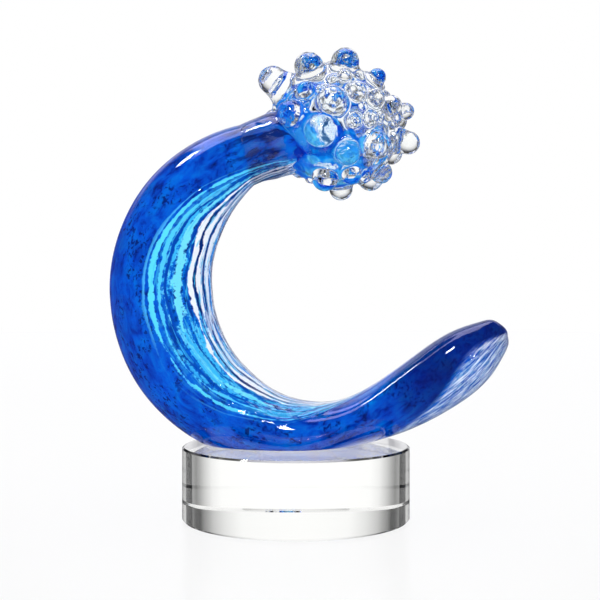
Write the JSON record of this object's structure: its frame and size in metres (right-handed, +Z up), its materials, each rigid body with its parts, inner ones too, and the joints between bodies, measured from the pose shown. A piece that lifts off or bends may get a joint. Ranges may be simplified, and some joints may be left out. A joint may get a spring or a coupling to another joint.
{
  "type": "glass wave sculpture",
  "caption": "Free-standing art-glass sculpture: a blue cased wave curls round into a crest of clear drops, bonded on a round clear crystal base.",
  "frame": {"origin": "centre of the base disc's underside", "axes": "+Z up, the wave curls in the XZ plane with its open mouth towards +X, and is seen from -Y"},
  "size_m": [0.1774, 0.1, 0.2057],
  "materials": {
    "crystal": "clear optical crystal, ground flat and polished",
    "adhesive": "clear cured adhesive film",
    "clear_glass": "clear fire-polished glass",
    "blue_glass": "cobalt and turquoise glass with white streaks, cased in clear",
    "froth_glass": "cobalt and turquoise glass that fades to clear, inside the froth"
  },
  "bodies": {
    "root": {"base_disc": "crystal", "bond_film": "adhesive", "clear_casing": "clear_glass", "colour_core": "blue_glass", "froth_core": "froth_glass", "froth_head": "clear_glass", "froth_drop_01": "clear_glass", "froth_drop_02": "clear_glass", "froth_drop_03": "clear_glass", "froth_drop_04": "clear_glass", "froth_drop_05": "clear_glass", "froth_drop_06": "clear_glass", "froth_drop_07": "clear_glass", "froth_drop_08": "clear_glass", "froth_drop_09": "clear_glass", "froth_drop_10": "clear_glass", "froth_drop_11": "clear_glass", "froth_drop_12": "clear_glass", "froth_drop_13": "clear_glass", "froth_drop_14": "clear_glass", "froth_drop_15": "clear_glass", "froth_drop_16": "clear_glass", "froth_drop_17": "clear_glass", "froth_drop_18": "clear_glass", "froth_drop_19": "clear_glass", "froth_drop_20": "clear_glass", "froth_drop_21": "clear_glass", "froth_drop_22": "clear_glass", "froth_drop_23": "clear_glass", "froth_drop_24": "clear_glass", "froth_drop_25": "clear_glass", "froth_drop_26": "clear_glass", "froth_drop_27": "clear_glass", "froth_drop_28": "clear_glass", "froth_drop_29": "clear_glass", "froth_drop_30": "clear_glass", "froth_drop_31": "clear_glass", "froth_drop_32": "clear_glass", "froth_drop_33": "clear_glass", "froth_drop_34": "clear_glass", "froth_drop_35": "clear_glass", "froth_drop_36": "clear_glass", "froth_drop_37": "clear_glass", "froth_drop_38": "clear_glass", "froth_drop_39": "clear_glass", "froth_drop_40": "clear_glass"}
  },
  "joints": []
}
